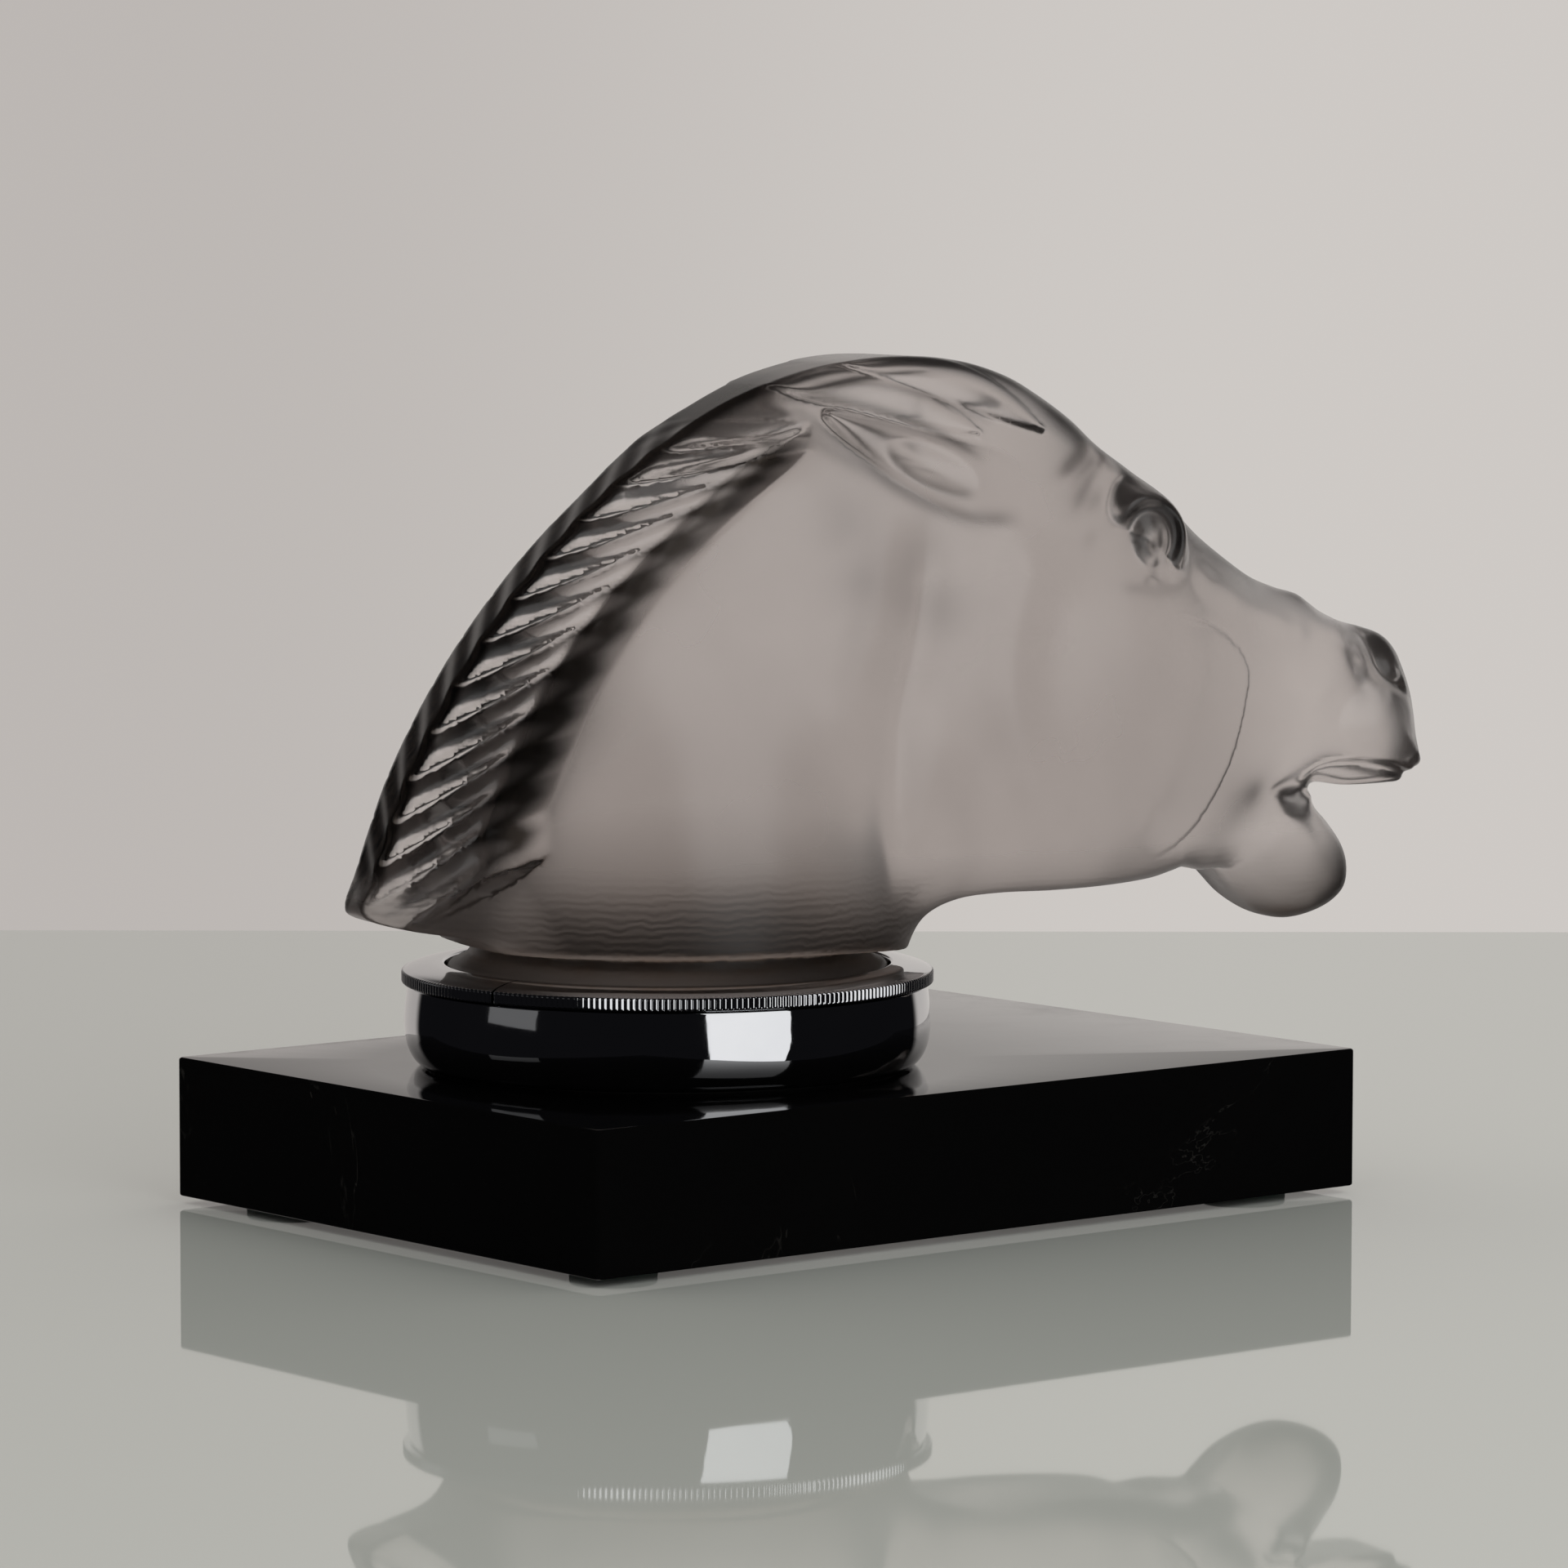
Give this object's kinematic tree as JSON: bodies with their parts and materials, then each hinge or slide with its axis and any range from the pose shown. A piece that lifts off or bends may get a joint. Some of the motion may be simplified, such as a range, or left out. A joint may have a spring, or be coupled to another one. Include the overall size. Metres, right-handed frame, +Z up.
{
  "type": "hood ornament",
  "caption": "Pressed-glass horse's head with swept-back mane, held by a screwed clamp ring in a chromed round mount on a black display plinth.",
  "frame": {"origin": "centre of the plinth's footprint, in the plane of the felt pads' undersides, on which the ornament stands", "axes": "+X along the plinth's long side towards the horse's nose, +Y to the horse's left, +Z up"},
  "size_m": [0.1919, 0.113, 0.1396],
  "materials": {
    "satin_glass": "smoky grey pressed glass, satin with polished highlights",
    "chrome_plate": "chromium plate on brass, polished, milled rim",
    "black_marble": "polished black marble with faint pale veins",
    "green_felt": "dark green wool felt",
    "gasket_rubber": "thin black rubber sheet",
    "gasket_cork": "rubberised cork",
    "packing_fibre": "dark vulcanised fibre",
    "zinc_steel": "bright zinc plate",
    "spring_steel": "oiled spring steel"
  },
  "bodies": {
    "base": {"plinth": "black_marble", "pad_front_left": "green_felt", "pad_front_right": "green_felt", "pad_rear_left": "green_felt", "pad_rear_right": "green_felt", "seat_gasket": "gasket_rubber", "mount_cup": "chrome_plate", "bolt_washer": "zinc_steel", "mount_bolt": "zinc_steel", "plinth_washer": "zinc_steel", "spring_washer": "spring_steel", "mount_nut": "zinc_steel", "foot_gasket": "gasket_cork"},
    "head": {"glass_head": "satin_glass"},
    "ring_carrier": {"ring_packing": "packing_fibre"},
    "clamp_ring": {"clamp_ring_left": "chrome_plate", "clamp_ring_right": "chrome_plate"}
  },
  "joints": [
    {"name": "head_turn", "type": "hinge", "parent": "base", "child": "head", "pos_m": [-0.0215, 0, 0.0322], "axis": [0, 0, 1], "continuous": true},
    {"name": "ring_lift", "type": "slide", "parent": "base", "child": "ring_carrier", "axis": [0, 0, 1], "range_m": [0, 0.0015]},
    {"name": "ring_turn", "type": "hinge", "parent": "ring_carrier", "child": "clamp_ring", "pos_m": [-0.0215, 0, 0.0392], "axis": [0, 0, 1], "range_deg": [0, 360]}
  ],
  "couplings": [
    {"joint": "ring_lift", "follows": "ring_turn", "m_per_rad": 0.00023873}
  ]
}
